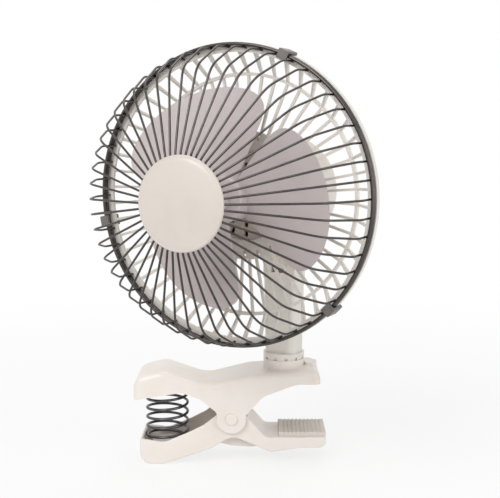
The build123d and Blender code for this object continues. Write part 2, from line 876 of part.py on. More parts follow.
with BuildPart() as fan_blade:
    with BuildSketch(ahead(hub_back)):
        Circle(hub_radius)
    extrude(amount=hub_length)
    fillet(fan_blade.faces().sort_by(fan_axis)[-1].edges(), hub_corner)
    add(repeated(blade.part, blade_count, blade_first))
    with BuildSketch(ahead(hub_back)):
        Circle(hub_radius - hub_wall)
        Circle(hub_boss_radius, mode=Mode.SUBTRACT)
    extrude(amount=hub_length - hub_wall, mode=Mode.SUBTRACT)
    with BuildSketch(ahead(hub_back)):
        add(flatted(hole_fit))
    extrude(amount=hub_length, mode=Mode.SUBTRACT)

with BuildPart() as blade_nut:
    with BuildSketch(ahead(hub_front + seat_gap)):
        Circle(nut_radius)
    extrude(amount=nut_length)
    fillet(blade_nut.faces().sort_by(fan_axis)[-1].edges(), nut_radius / 3)
    with BuildSketch(ahead(hub_front)):
        with PolarLocations(nut_radius + 1.2, 6):
            Circle(2.2)
    extrude(amount=nut_length - 2, mode=Mode.SUBTRACT)
    with BuildSketch(ahead(hub_front)):
        Circle(shaft_radius + hole_fit)
    extrude(amount=nut_thread + joint_gap, mode=Mode.SUBTRACT)

with BuildPart() as rotor_core:
    with BuildSketch(ahead(stack_middle)):
        Circle(bore_radius - air_gap)
        Circle(shaft_radius + hole_fit, mode=Mode.SUBTRACT)
    extrude(amount=rotor_length / 2, both=True)

rotor_front = stack_middle + rotor_length / 2
rotor_back = stack_middle - rotor_length / 2

with BuildPart() as thrust_washers:
    with BuildSketch(ahead(rotor_front + hole_fit), ahead(rotor_back - hole_fit - thrust_washer_thickness)):
        Circle(thrust_washer_radius)
        Circle(shaft_radius + hole_fit, mode=Mode.SUBTRACT)
    extrude(amount=thrust_washer_thickness)

# ---------------------------------------------------------------- neck and tilt joint

neck_back = Plane(
    origin=(neck_x, 0, (neck_pocket_bottom + neck_pocket_top) / 2), x_dir=fan.x_dir, z_dir=-fan.z_dir
)
foot_bottom = seat_height + joint_gap
foot_top = foot_bottom + foot_height
fork_bottom = axis_height - tilt_drop - fork_slot_radius
spigot_bottom = swivel_floor - seat_gap

with BuildPart() as neck:
    with BuildSketch(neck_plane(foot_bottom)):
        Circle(foot_radius)
    extrude(amount=foot_height)
    with BuildSketch(neck_plane(foot_bottom)):
        with PolarLocations(foot_radius, notch_count):
            Rectangle(2 * notch_depth, notch_width)
    extrude(amount=notch_height, mode=Mode.SUBTRACT)
    with BuildSketch(neck_plane(foot_top)):
        RectangleRounded(column_width, column_depth, column_corner)
    with BuildSketch(neck_plane(fork_bottom)):
        RectangleRounded(fork_width, fork_depth, fork_corner)
    loft()
    with BuildSketch(tilt_side):
        Circle(fork_depth / 2)
        with Locations((0, fork_slot_radius / 2)):
            Rectangle(fork_depth, fork_slot_radius)
    extrude(amount=fork_width / 2, both=True)
    fillet(neck.edges().filter_by(GeomType.CIRCLE).group_by(Axis.Z)[-1], 2)
    with BuildSketch(tilt_side):
        Circle(fork_slot_radius)
        with Locations((0, -fork_slot_radius)):
            Rectangle(2 * fork_slot_radius, 2 * fork_slot_radius)
    extrude(amount=fork_slot / 2, both=True, mode=Mode.SUBTRACT)
    with BuildSketch(tilt_side):
        Circle(tilt_bolt_radius + hole_fit)
    extrude(amount=fork_width, both=True, mode=Mode.SUBTRACT)
    with BuildSketch(tilt_side.offset(fork_width / 2 - tilt_sink)):
        Circle(tilt_head_radius + joint_gap)
    extrude(amount=tilt_sink, mode=Mode.SUBTRACT)
    with BuildSketch(tilt_side.offset(-fork_width / 2)):
        RegularPolygon(radius=tilt_head_radius + joint_gap, side_count=6)
    extrude(amount=tilt_sink, mode=Mode.SUBTRACT)
    with BuildSketch(neck_plane(foot_bottom)):
        Circle(spigot_radius)
    extrude(amount=spigot_bottom - foot_bottom)
    with BuildSketch(neck_plane(spigot_bottom)):
        Circle(swivel_screw_radius + hole_fit)
    extrude(amount=swivel_screw_length, mode=Mode.SUBTRACT)
    with BuildSketch(neck_back.offset(column_depth / 2 - neck_pocket_depth)):
        RectangleRounded(neck_pocket_width, neck_pocket_top - neck_pocket_bottom, 3)
    extrude(amount=column_depth, mode=Mode.SUBTRACT)

washer_thickness = (fork_slot - lug_width) / 2 - 2 * seat_gap

with BuildPart() as tilt_washers:
    with BuildSketch(tilt_side.offset(lug_width / 2 + seat_gap), tilt_side.offset(seat_gap - fork_slot / 2)):
        Circle(tilt_washer_radius)
        Circle(tilt_bolt_radius + hole_fit, mode=Mode.SUBTRACT)
    extrude(amount=washer_thickness)

bolt_seat = fork_width / 2 - tilt_sink + seat_gap
tilt_bolt = pan_screw(
    [tilt_side.offset(bolt_seat)],
    tilt_bolt_radius,
    2 * bolt_seat + tilt_head_height,
    tilt_head_radius,
    tilt_head_height,
)

with BuildPart() as tilt_nut:
    with BuildSketch(tilt_side.offset(-bolt_seat)):
        RegularPolygon(radius=tilt_head_radius, side_count=6)
        Circle(tilt_bolt_radius + hole_fit, mode=Mode.SUBTRACT)
    extrude(amount=-tilt_head_height)

swivel_washer_top = spigot_bottom - seat_gap
swivel_head_top = swivel_washer_top - swivel_washer_thickness - seat_gap

with BuildPart() as swivel_washer:
    with BuildSketch(neck_plane(swivel_washer_top)):
        Circle(swivel_washer_radius)
        Circle(swivel_screw_radius + hole_fit, mode=Mode.SUBTRACT)
    extrude(amount=-swivel_washer_thickness)

swivel_screw = pan_screw(
    [Plane(origin=(neck_x, 0, swivel_head_top), x_dir=fan.x_dir, z_dir=(0, 0, -1))],
    swivel_screw_radius,
    swivel_screw_length,
    swivel_head_radius,
    swivel_head_height,
)

# ---------------------------------------------------------------- upper jaw

side = Plane.XZ  # x is along the clamp and y is up
pivot = (pivot_x, pivot_z)
ear_bottom = pivot_z - ear_radius - clamp_wall
jaw_inside = clamp_width / 2 - clamp_wall

with BuildPart() as jaw_outside:
    with BuildSketch(side):
        with BuildLine():
            FilletPolyline(
                (handle_end, -11),
                (handle_end, 6),
                (-115, 12),
                (-82, 0.6),
                (-47, 9.2),
                (nose_x, 13.4),
                (nose_x, mouth_height),
                radius=(10, 14, 30, 18, 8),
            )
            FilletPolyline(
                (nose_x, mouth_height),
                (-10, mouth_height),
                (-36, -8),
                (pivot_x + ear_radius, -23),
                (pivot_x + ear_radius, pivot_z),
                radius=(20, 18, 4),
            )
            ThreePointArc(
                (pivot_x + ear_radius, pivot_z), (pivot_x, pivot_z - ear_radius), (pivot_x - ear_radius, pivot_z)
            )
            FilletPolyline(
                (pivot_x - ear_radius, pivot_z),
                (pivot_x - ear_radius, -21),
                (-86, -10),
                (-100, -5),
                (-120, -8),
                (handle_end, -11),
                radius=(5, 10, 10, 20),
            )
        make_face()
    extrude(amount=clamp_width / 2, both=True)
    side_edges = jaw_outside.faces().filter_by(Axis.Y).edges()
    fillet(side_edges.filter_by(lambda edge: edge.center().Z > mouth_height + 1), clamp_edge)

spring_seat_top = spring_top + spring_seat_gap
spring_place = (spring_x, 0)

with BuildPart() as jaw_cavity:
    with BuildSketch(side):
        with BuildLine():
            FilletPolyline(
                (handle_end + clamp_wall, ear_bottom),
                (handle_end + clamp_wall, 6 - clamp_wall),
                (-115, 12 - clamp_wall),
                (-82, 0.6 - clamp_wall),
                (-47, 9.2 - clamp_wall),
                (-47, ear_bottom),
                radius=(0, 7, 17, 27, 3, 0),
                close=True,
            )
        make_face()
        with Locations((front_pocket_x, (front_pocket_top + ear_bottom) / 2)):
            RectangleRounded(front_pocket_length, front_pocket_top - ear_bottom, 3)
    extrude(amount=jaw_inside, both=True)
    with BuildSketch(Plane.XY.offset(spring_seat_top)):
        with Locations(spring_place):
            Circle(spring_seat_radius)
    extrude(amount=clamp_width, mode=Mode.SUBTRACT)
    with BuildSketch(Plane.XY.offset(spring_seat_top)):
        with Locations(spring_place):
            Circle(spring_guide_radius)
    extrude(amount=-spring_guide_height, mode=Mode.SUBTRACT)

pad_floor = mouth_height + pad_recess

with BuildPart() as upper_jaw:
    add(jaw_outside.part)
    with BuildSketch(Plane.XY.offset(seat_height)):
        with Locations((neck_x, 0)):
            Circle(foot_radius)
    extrude(amount=-seat_height / 2)
    with BuildSketch(Plane.XY.offset(seat_height / 2)):
        with Locations((neck_x + foot_radius + stop_lug_length / 2 + turning_gap, 0)):
            RectangleRounded(stop_lug_length, stop_lug_width, 3)
    extrude(amount=stop_lug_height - seat_height / 2)
    add(jaw_cavity.part, mode=Mode.SUBTRACT)
    with BuildSketch(Plane.XY.offset(seat_height)):
        with Locations((neck_x, 0)):
            Circle(spigot_radius + running_fit)
    extrude(amount=-seat_height, mode=Mode.SUBTRACT)
    with BuildSketch(Plane.XY.offset(swivel_floor)):
        with Locations((neck_x, 0)):
            Circle(swivel_washer_radius + joint_gap)
    extrude(amount=-clamp_width, mode=Mode.SUBTRACT)
    with BuildSketch(Plane.XY.offset(pad_floor)):
        Rectangle(pad_length + 2 * hole_fit, pad_width + 2 * hole_fit)
    extrude(amount=-clamp_wall, mode=Mode.SUBTRACT)
    with BuildSketch(side):
        with Locations(pivot):
            Circle(pin_radius + running_fit)
    extrude(amount=clamp_width, both=True, mode=Mode.SUBTRACT)


def grip_pad(face, thickness, middle, length):
    """Rubber pad with grooves across its grip face; the thickness is taken away from the face."""
    groove_count = 2 * int((length / 2 - groove_pitch / 2) / groove_pitch)
    with BuildPart() as pad:
        with BuildSketch(Plane.XY.offset(face)):
            with Locations((middle, 0)):
                Rectangle(length, pad_width)
        extrude(amount=thickness)
        with BuildSketch(Plane.XY.offset(face)):
            with Locations((middle, 0)):
                with GridLocations(groove_pitch, 1, groove_count, 1):
                    Rectangle(groove_width, pad_width)
        extrude(amount=groove_depth if thickness > 0 else -groove_depth, mode=Mode.SUBTRACT)
    return pad


upper_jaw_pad = grip_pad(0, upper_pad_thickness - hole_fit, 0, pad_length)

# ---------------------------------------------------------------- lower jaw

lower_inside = lower_width / 2 - lower_wall
trough_seat = spring_bottom - spring_seat_gap

with BuildPart() as trough:
    with BuildSketch(side):
        with BuildLine():
            FilletPolyline(
                (lower_end + lower_wall, 0),
                (lower_end + lower_wall, -60.9),
                (-114, -60.9),
                (-76, -47.9),
                (-60.6, -38),
                (-49, -43),
                (-49, 0),
                radius=(0, 7, 20, 5, 5, 2, 0),
                close=True,
            )
        make_face()
    extrude(amount=lower_inside, both=True)
    with BuildSketch(side):
        with Locations(pivot):
            Circle(lower_ear_boss)
    extrude(amount=lower_inside, both=True, mode=Mode.SUBTRACT)
    with BuildSketch(side):
        with Locations(pivot):
            Circle(lower_ear_boss + 1)
    extrude(amount=lower_inside - lower_wall, both=True)
    with BuildSketch(Plane.XY.offset(trough_seat)):
        with Locations(spring_place):
            Circle(spring_seat_radius)
    extrude(amount=-clamp_width, mode=Mode.SUBTRACT)
    with BuildSketch(Plane.XY.offset(trough_seat)):
        with Locations(spring_place):
            Circle(spring_seat_radius)
    extrude(amount=2 * spring_guide_height)
    with BuildSketch(Plane.XY.offset(trough_seat)):
        with Locations(spring_place):
            Circle(spring_guide_radius)
    extrude(amount=spring_guide_height, mode=Mode.SUBTRACT)

with BuildPart() as lower_jaw:
    with BuildSketch(side):
        with BuildLine():
            FilletPolyline(
                (lower_end, -43),
                (lower_end, -63.5),
                (-114, -63.5),
                (-76, -50.5),
                (-60.6, -40.8),
                (-30, -54),
                (-8, -50.8),
                (lower_nose, -50.3),
                (lower_nose, lower_face),
                (-34, lower_face),
                (-52, -22),
                (-70, -22),
                (-83, -32),
                (-95, -38),
                (-114, -46),
                radius=(1.5, 9, 20, 6, 12, 8, 20, 5, 1, 6, 3, 3, 10, 10, 15),
                close=True,
            )
        make_face()
        with Locations(pivot):
            Circle(lower_ear_radius)
    extrude(amount=lower_width / 2, both=True)
    add(trough.part, mode=Mode.SUBTRACT)
    with BuildSketch(side):
        with Locations((-33, lower_face - lower_wall - 10)):
            Rectangle(15, 20)
        with Locations((-11, lower_face - lower_wall - 10)):
            Rectangle(23, 20)
        with Locations((6.4, lower_face - lower_wall - 10)):
            Rectangle(7, 20)
    extrude(amount=lower_inside, both=True, mode=Mode.SUBTRACT)
    with BuildSketch(side):
        Polygon(
            (pivot_x - 13, -48),
            (pivot_x, -40),
            (pivot_x + 26, -50),
            (pivot_x + 16, -52.2),
            (pivot_x, -51),
            align=None,
        )
    extrude(amount=lower_inside * 0.75, both=True)
    with BuildSketch(side):
        with Locations(pivot):
            Circle(pin_radius + running_fit)
    extrude(amount=clamp_width, both=True, mode=Mode.SUBTRACT)

lower_pad_middle = lower_nose - lower_pad_length / 2
lower_grip = lower_face + lower_pad_thickness
lower_jaw_pad = grip_pad(lower_grip, hole_fit - lower_pad_thickness, lower_pad_middle, lower_pad_length)

# ---------------------------------------------------------------- pivot pin

pin_seat = clamp_width / 2 + seat_gap

with BuildPart() as pivot_pin:
    with BuildSketch(side.offset(pin_seat)):
        with Locations(pivot):
            Circle(pin_head_radius)
    extrude(amount=pin_head_height)
    fillet(pivot_pin.faces().sort_by(Axis.Y)[0].edges(), pin_head_height * 0.6)
    with BuildSketch(side.offset(pin_seat)):
        with Locations(pivot):
            Circle(pin_radius)
    extrude(amount=-2 * pin_seat - pin_tail)
    chamfer(pivot_pin.faces().sort_by(Axis.Y)[-1].edges(), 0.6)

with BuildPart() as pivot_push_nut:
    with BuildSketch(side.offset(-pin_seat)):
        with Locations(pivot):
            Circle(push_nut_radius)
            Circle(pin_radius + hole_fit, mode=Mode.SUBTRACT)
            with PolarLocations(pin_radius + 0.8, 4):
                Rectangle(1.6, 1.2, mode=Mode.SUBTRACT)
    extrude(amount=-push_nut_thickness)

# ---------------------------------------------------------------- clamp spring

coil_radius = (spring_diameter - spring_wire) / 2
coil_bottom = spring_bottom + spring_wire + spring_bend
coil_height = spring_top - spring_wire - spring_bend - coil_bottom
quarter_turns = 2 * spring_half_turns


def coil_point(angle, height):
    """Point at an angle round the coil and a height above its lower end."""
    return Vector(spring_x + coil_radius * cos(angle), coil_radius * sin(angle), coil_bottom + height)


def coil_way(angle):
    """Direction of the coil's centreline at an angle round it."""
    rise = coil_height / (pi * spring_half_turns)
    return Vector(-coil_radius * sin(angle), coil_radius * cos(angle), rise).normalized()


def meeting_point(start, start_way, end, end_way):
    """Point where two arcs meet that leave the start and reach the end in the given directions."""
    chord = end - start
    along = start_way + end_way
    lean = 2 * (1 - start_way.dot(end_way))
    reach = (-chord.dot(along) + sqrt(chord.dot(along) ** 2 + lean * chord.dot(chord))) / lean
    return (start + end + (start_way - end_way) * reach) * 0.5


up = Vector(0, 0, 1)
bend_angle = spring_bend / coil_radius
last_angle = pi * spring_half_turns
stops = [coil_point(-bend_angle, -spring_bend)]
ways = [up]
for number in range(quarter_turns + 1):
    stops.append(coil_point(pi / 2 * number, coil_height * number / quarter_turns))
    ways.append(coil_way(pi / 2 * number))
stops.append(coil_point(last_angle + bend_angle, coil_height + spring_bend))
ways.append(up)

with BuildPart() as clamp_spring:
    with BuildLine() as coil_line:
        Line(stops[0] - up * spring_wire, stops[0])
        for start, start_way, end, end_way in zip(stops, ways, stops[1:], ways[1:]):
            middle = meeting_point(start, start_way, end, end_way)
            first = TangentArc(start, middle, tangent=start_way)
            TangentArc(middle, end, tangent=first % 1)
        Line(stops[-1], stops[-1] + up * spring_wire)
    with BuildSketch(Plane(origin=stops[0] - up * spring_wire, z_dir=up)):
        Circle(spring_wire / 2)
    sweep()

coil_wire = coil_line.wire()
sample_count = 500
samples = [coil_wire @ (number / sample_count) for number in range(sample_count + 1)]
neighbours = int(4 * spring_wire / (coil_wire.length / sample_count))
least_gap = min(
    (samples[one] - samples[other]).length - spring_wire
    for one in range(sample_count)
    for other in range(one + neighbours, sample_count + 1)
)
print(f"least gap between the spring's coils: {least_gap:.2f} mm")

# ---------------------------------------------------------------- files

nodes = {
    "upper_jaw": upper_jaw,
    "upper_jaw_pad": upper_jaw_pad,
    "lower_jaw": lower_jaw,
    "lower_jaw_pad": lower_jaw_pad,
    "pivot_pin": pivot_pin,
    "pivot_push_nut": pivot_push_nut,
    "clamp_spring": clamp_spring,
    "neck": neck,
    "swivel_screw": swivel_screw,
    "swivel_washer": swivel_washer,
    "tilt_bolt": tilt_bolt,
    "tilt_nut": tilt_nut,
    "tilt_washers": tilt_washers,
    "motor_cover": motor_cover,
    "motor_housing": motor_housing,
    "housing_screws": housing_screws,
    "rear_guard": rear_guard,
    "guard_screws": guard_screws,
    "front_guard_wires": front_guard_wires,
    "guard_rim_rings": guard_rim_rings,
    "guard_centre_plate": guard_centre_plate,
    "guard_clips": guard_clips,
    "front_badge": front_badge,
    "badge_screws": badge_screws,
    "stator_core": stator_core,
    "coil_bobbin": coil_bobbin,
    "coil_winding": coil_winding,
    "front_bracket": front_bracket,
    "rear_bracket": rear_bracket,
    "front_bush": front_bush,
    "rear_bush": rear_bush,
    "motor_screws": motor_screws,
    "speed_switch": speed_switch,
    "switch_stem": switch_stem,
    "speed_knob": speed_knob,
    "cord_inlet": cord_inlet,
    "motor_shaft": motor_shaft,
    "rotor_core": rotor_core,
    "thrust_washers": thrust_washers,
    "fan_blade": fan_blade,
    "blade_nut": blade_nut,
}

for name, node in nodes.items():
    node.part.label = name
    export_step(node.part, f"parts/{name}.step")
    print(name, len(node.part.solids()), round(node.part.volume))
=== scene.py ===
"""Clip fan: finishes, finer pieces, light and camera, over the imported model."""

from math import cos, exp, pi, radians, sin, sqrt, tan

import bmesh
import bpy
from mathutils import Matrix, Vector


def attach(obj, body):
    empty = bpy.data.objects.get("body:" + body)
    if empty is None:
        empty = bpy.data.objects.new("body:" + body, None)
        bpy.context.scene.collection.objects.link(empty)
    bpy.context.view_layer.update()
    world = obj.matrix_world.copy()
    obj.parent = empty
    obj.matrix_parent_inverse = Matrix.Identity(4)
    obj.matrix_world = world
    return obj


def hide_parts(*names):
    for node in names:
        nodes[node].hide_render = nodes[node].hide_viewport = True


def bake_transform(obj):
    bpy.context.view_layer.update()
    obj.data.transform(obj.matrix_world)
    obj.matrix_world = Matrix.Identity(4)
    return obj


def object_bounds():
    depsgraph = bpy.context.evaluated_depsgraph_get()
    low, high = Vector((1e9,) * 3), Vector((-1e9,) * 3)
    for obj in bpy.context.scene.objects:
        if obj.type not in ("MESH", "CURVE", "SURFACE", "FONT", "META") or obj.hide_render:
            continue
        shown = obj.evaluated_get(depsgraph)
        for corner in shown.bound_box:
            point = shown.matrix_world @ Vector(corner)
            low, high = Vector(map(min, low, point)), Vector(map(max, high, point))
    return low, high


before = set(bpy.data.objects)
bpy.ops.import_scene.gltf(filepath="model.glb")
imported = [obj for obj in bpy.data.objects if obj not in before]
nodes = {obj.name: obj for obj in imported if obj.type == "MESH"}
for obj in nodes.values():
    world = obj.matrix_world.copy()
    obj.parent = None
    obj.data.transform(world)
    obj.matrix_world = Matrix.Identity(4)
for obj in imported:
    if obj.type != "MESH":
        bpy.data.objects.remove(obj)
cad_box = [list(corner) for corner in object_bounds()]

# Sizes of the pieces are in millimetres; those of finishes, stage and camera are in metres.
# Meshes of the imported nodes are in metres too.
MM = 0.001
HEAD_TURN = radians(26.5)
ACROSS = Vector((cos(HEAD_TURN), -sin(HEAD_TURN), 0.0))
UP = Vector((0.0, 0.0, 1.0))
AHEAD = Vector((-sin(HEAD_TURN), -cos(HEAD_TURN), 0.0))
NECK_X = -19.2
AXIS_HEIGHT = 152.6
RIM_REACH = 91.9  # from the neck's axis to the plane between the guard's rim rings
RIM_CENTRE = Vector((NECK_X, 0.0, AXIS_HEIGHT)) + AHEAD * RIM_REACH


def placed(x_way, y_way, z_way, origin):
    """Matrix that takes millimetres in a piece's own directions to metres in the frame."""
    turn = Matrix((x_way, y_way, z_way)).transposed().to_4x4()
    return Matrix.Translation(origin * MM) @ turn @ Matrix.Scale(MM, 4)


# Across, up and ahead, from the middle of the plane between the rim rings.
HEAD = placed(ACROSS, UP, AHEAD, RIM_CENTRE)


# ---------------------------------------------------------------- finishes


class Number:
    """A shader value that takes part in ordinary sums."""

    def __init__(self, finish, socket):
        self.finish = finish
        self.socket = socket

    def _sum(self, operation, one, other=0.0):
        return self.finish.node("ShaderNodeMath", {"operation": operation}, {0: one, 1: other})

    def __add__(self, other):
        return self._sum("ADD", self, other)

    def __rsub__(self, other):
        return self._sum("SUBTRACT", other, self)

    def __mul__(self, other):
        return self._sum("MULTIPLY", self, other)

    def __pow__(self, other):
        return self._sum("POWER", self, other)

    def most(self, other):
        return self._sum("MAXIMUM", self, other)

    def wave(self):
        return self._sum("SINE", self)

    def ramp(self, low, high):
        """Zero below low, one above high, and smooth between."""
        return self.finish.node(
            "ShaderNodeMapRange",
            {"interpolation_type": "SMOOTHSTEP"},
            {"Value": self, "From Min": low, "From Max": high},
        )


class Finish:
    """One material, made of nodes round a Principled shader."""

    def __init__(self, name, colour, roughness, metallic=0.0):
        self.material = bpy.data.materials.new(name)
        self.material.use_nodes = True
        self.tree = self.material.node_tree
        self.shader = self.tree.nodes["Principled BSDF"]
        self.colour = colour
        self.shader.inputs["Base Color"].default_value = (*colour, 1.0)
        self.shader.inputs["Roughness"].default_value = roughness
        self.shader.inputs["Metallic"].default_value = metallic

    def node(self, kind, settings=None, inputs=None, output=0):
        """A node with its settings, the values or links of its sockets, and one of its outputs."""
        made = self.tree.nodes.new(kind)
        for setting, value in (settings or {}).items():
            setattr(made, setting, value)
        for socket, value in (inputs or {}).items():
            self.link(value, made.inputs[socket])
        return Number(self, made.outputs[output])

    def link(self, value, socket):
        """Links a shader value to a socket, or sets the socket to a constant."""
        if isinstance(value, Number):
            self.tree.links.new(value.socket, socket)
        elif socket.type == "RGBA":
            socket.default_value = (*value, 1.0)
        else:
            socket.default_value = value

    def vector(self, operation, inputs, output=0):
        return self.node("ShaderNodeVectorMath", {"operation": operation}, inputs, output)

    def place(self):
        return self.node("ShaderNodeTexCoord", output="Object")

    def along(self, way):
        """Distance along a direction, in metres."""
        return self.vector("DOT_PRODUCT", {0: self.place(), 1: tuple(way)}, "Value")

    def outward(self, start, way):
        """Distance from an axis, in metres."""
        moved = self.vector("SUBTRACT", {0: self.place(), 1: tuple(start)})
        crossed = self.vector("CROSS_PRODUCT", {0: moved, 1: tuple(way)})
        return self.vector("LENGTH", {0: crossed}, "Value")

    def stripes(self, way, pitch):
        """Wave between 0 and 1 along a direction, by its pitch in metres."""
        return (self.along(way) * (2 * pi / pitch)).wave() * 0.5 + 0.5

    def noise(self, scale, detail, roughness, stretch=None):
        """Noise between 0 and 1, finer with scale; stretch draws it out along a direction."""
        where = self.place()
        if stretch is not None:
            way, amount = stretch
            pull = self.vector("SCALE", {0: tuple(way), "Scale": self.along(way) * amount})
            where = self.vector("SUBTRACT", {0: where, 1: pull})
        return self.node(
            "ShaderNodeTexNoise",
            {},
            {"Vector": where, "Scale": scale, "Detail": detail, "Roughness": roughness},
        )

    def tint(self, share, other):
        """The finish's own colour, going to another where share is 1."""
        # The mix node has several sockets of each name, so its colours go by number.
        colours = {0: share, 6: self.colour, 7: other}
        mixed = self.node("ShaderNodeMix", {"data_type": "RGBA"}, colours, 2)
        self.link(mixed, self.shader.inputs["Base Color"])

    def gloss(self, roughness):
        self.link(roughness, self.shader.inputs["Roughness"])

    def relief(self, height, depth, strength=1.0):
        """Small relief of a height between 0 and 1, by a depth in metres."""
        sizes = {"Strength": strength, "Distance": depth, "Height": height}
        self.link(self.node("ShaderNodeBump", {}, sizes), self.shader.inputs["Normal"])


def moulded(name, colour, roughness, age, grain=0.00002, scale=2600.0):
    """Moulded plastic: faint cloudy ageing with specks, and a fine mould texture."""
    finish = Finish(name, colour, roughness)
    cloud = finish.noise(scale=28.0, detail=3.0, roughness=0.55)
    speck = finish.noise(scale=420.0, detail=2.0, roughness=0.6)
    finish.tint(cloud.ramp(0.42, 0.78) * 0.75 + speck.ramp(0.55, 0.8) * 0.25, age)
    finish.gloss(cloud * 0.10 + (roughness - 0.05))
    texture = finish.noise(scale, detail=2.0, roughness=0.6)
    finish.relief(texture, depth=grain, strength=0.35)
    return finish


def plated(name, colour, roughness, dull, stretch=None):
    """Plated or ground metal: slight cloudiness of the shine, and finer marks along the work."""
    finish = Finish(name, colour, roughness, metallic=1.0)
    cloud = finish.noise(scale=160.0, detail=3.0, roughness=0.6)
    marks = finish.noise(scale=2400.0, detail=2.0, roughness=0.6, stretch=stretch)
    finish.tint(cloud.ramp(0.45, 0.8), dull)
    finish.gloss(cloud * 0.14 + marks * 0.08 + (roughness - 0.1))
    finish.relief(marks, depth=0.000006, strength=0.4)
    return finish


FINE_GRAIN = 0.00001

clamp_ivory = moulded("clamp_ivory", (0.845, 0.785, 0.73), 0.34, (0.78, 0.705, 0.63))
neck_ivory = moulded("neck_ivory", (0.76, 0.725, 0.67), 0.38, (0.68, 0.63, 0.57))
shell_ivory = moulded("shell_ivory", (0.74, 0.69, 0.635), 0.36, (0.65, 0.59, 0.52))
guard_ivory = moulded("guard_ivory", (0.82, 0.78, 0.73), 0.42, (0.72, 0.67, 0.60), FINE_GRAIN)
knob_ivory = moulded("knob_ivory", (0.66, 0.61, 0.55), 0.34, (0.56, 0.50, 0.44))
blade_grey = moulded("blade_grey", (0.575, 0.508, 0.497), 0.33, (0.515, 0.452, 0.44), FINE_GRAIN)
badge_gloss = moulded("badge_gloss", (0.66, 0.60, 0.55), 0.22, (0.61, 0.55, 0.50), grain=0.000005)
pad_rubber = moulded(
    "pad_rubber", (0.70, 0.655, 0.60), 0.82, (0.60, 0.555, 0.50), grain=0.00006, scale=1800.0
)
black_plastic = moulded("black_plastic", (0.030, 0.030, 0.032), 0.45, (0.045, 0.044, 0.043))
white_nylon = moulded("white_nylon", (0.74, 0.72, 0.68), 0.45, (0.66, 0.63, 0.57))

# Painted reflection: the chrome wires get a near-black colour in place of the dark surroundings they
# reflect.
wire_chrome = plated("wire_chrome", (0.085, 0.077, 0.073), 0.30, (0.055, 0.05, 0.047))
clip_steel = plated("clip_steel", (0.19, 0.175, 0.165), 0.42, (0.14, 0.13, 0.12))
zinc_plate = plated("zinc_plate", (0.62, 0.62, 0.61), 0.36, (0.52, 0.51, 0.48))
spring_dark = plated("spring_dark", (0.115, 0.115, 0.125), 0.34, (0.07, 0.068, 0.068))
ground_steel = plated(
    "ground_steel", (0.66, 0.66, 0.67), 0.22, (0.58, 0.58, 0.58), stretch=(AHEAD, 0.96)
)
bush_bronze = plated("bush_bronze", (0.55, 0.38, 0.20), 0.45, (0.42, 0.28, 0.14))

SHEET_PITCH = 0.0006
laminated_steel = Finish("laminated_steel", (0.36, 0.37, 0.39), 0.46, metallic=0.85)
sheets = laminated_steel.stripes(AHEAD, SHEET_PITCH)
laminated_steel.tint(sheets**3 * 0.7, (0.10, 0.10, 0.11))
laminated_steel.relief(sheets, depth=0.00006)

TURN_PITCH = 0.0005
enamelled_copper = Finish("enamelled_copper", (0.52, 0.20, 0.085), 0.28, metallic=0.6)
turns = enamelled_copper.stripes(ACROSS, TURN_PITCH)
# Painted shade: the winding is darker in the grooves between its turns.
enamelled_copper.tint(1.0 - turns.ramp(0.0, 0.5), (0.16, 0.05, 0.02))
enamelled_copper.relief(turns, depth=0.0001)

FINISHES = {
    clamp_ivory: ("upper_jaw", "lower_jaw", "pivot_pin"),
    pad_rubber: ("upper_jaw_pad", "lower_jaw_pad"),
    neck_ivory: ("neck",),
    shell_ivory: ("motor_cover", "motor_housing"),
    guard_ivory: ("rear_guard",),
    clip_steel: ("guard_clips",),
    knob_ivory: ("speed_knob",),
    blade_grey: ("fan_blade", "blade_nut"),
    badge_gloss: ("front_badge",),
    black_plastic: ("speed_switch", "switch_stem", "cord_inlet", "thrust_washers"),
    white_nylon: ("coil_bobbin", "tilt_washers"),
    wire_chrome: ("front_guard_wires", "guard_rim_rings"),
    zinc_plate: (
        "swivel_screw",
        "swivel_washer",
        "tilt_bolt",
        "tilt_nut",
        "housing_screws",
        "guard_screws",
        "guard_centre_plate",
        "badge_screws",
        "front_bracket",
        "rear_bracket",
        "motor_screws",
    ),
    spring_dark: ("clamp_spring", "pivot_push_nut"),
    ground_steel: ("motor_shaft",),
    bush_bronze: ("front_bush", "rear_bush"),
    laminated_steel: ("stator_core", "rotor_core"),
    enamelled_copper: ("coil_winding",),
}


def coat(piece, finish):
    """Gives the whole piece one finish."""
    piece.data.materials.clear()
    piece.data.materials.append(finish.material)


for finish, names in FINISHES.items():
    for name in names:
        coat(nodes[name], finish)


# ---------------------------------------------------------------- ways of making a piece

AXIS = (0, 0, 1)
ORIGIN = (0, 0, 0)
SHARP_OVER = radians(40.0)


def linked(name, data):
    """A new object in the scene, of a mesh, a curve, a lamp or a camera."""
    made = bpy.data.objects.new(name, data)
    bpy.context.scene.collection.objects.link(made)
    return made


def meshed(form, name):
    """Mesh of a form, which is used up."""
    mesh = bpy.data.meshes.new(name)
    form.to_mesh(mesh)
    form.free()
    return mesh


def joined(form, other):
    """Adds another form to a form, and uses the other up."""
    mesh = meshed(other, "joined")
    form.from_mesh(mesh)
    bpy.data.meshes.remove(mesh)


def finished(name, mesh, finish, body, *stands_for):
    """An object of a mesh that is in its place already, riding a body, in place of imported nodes."""
    piece = linked(name, mesh)
    coat(piece, finish)
    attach(piece, body)
    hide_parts(*stands_for)
    return piece


def closed(form, name, place=HEAD):
    """Turns a form in millimetres into a mesh in its place, smooth but for its corners."""
    bmesh.ops.remove_doubles(form, verts=form.verts, dist=0.002)
    bmesh.ops.recalc_face_normals(form, faces=form.faces)
    mesh = meshed(form, name)
    mesh.transform(place)
    mesh.shade_smooth()
    mesh.set_sharp_from_angle(angle=SHARP_OVER)
    return mesh


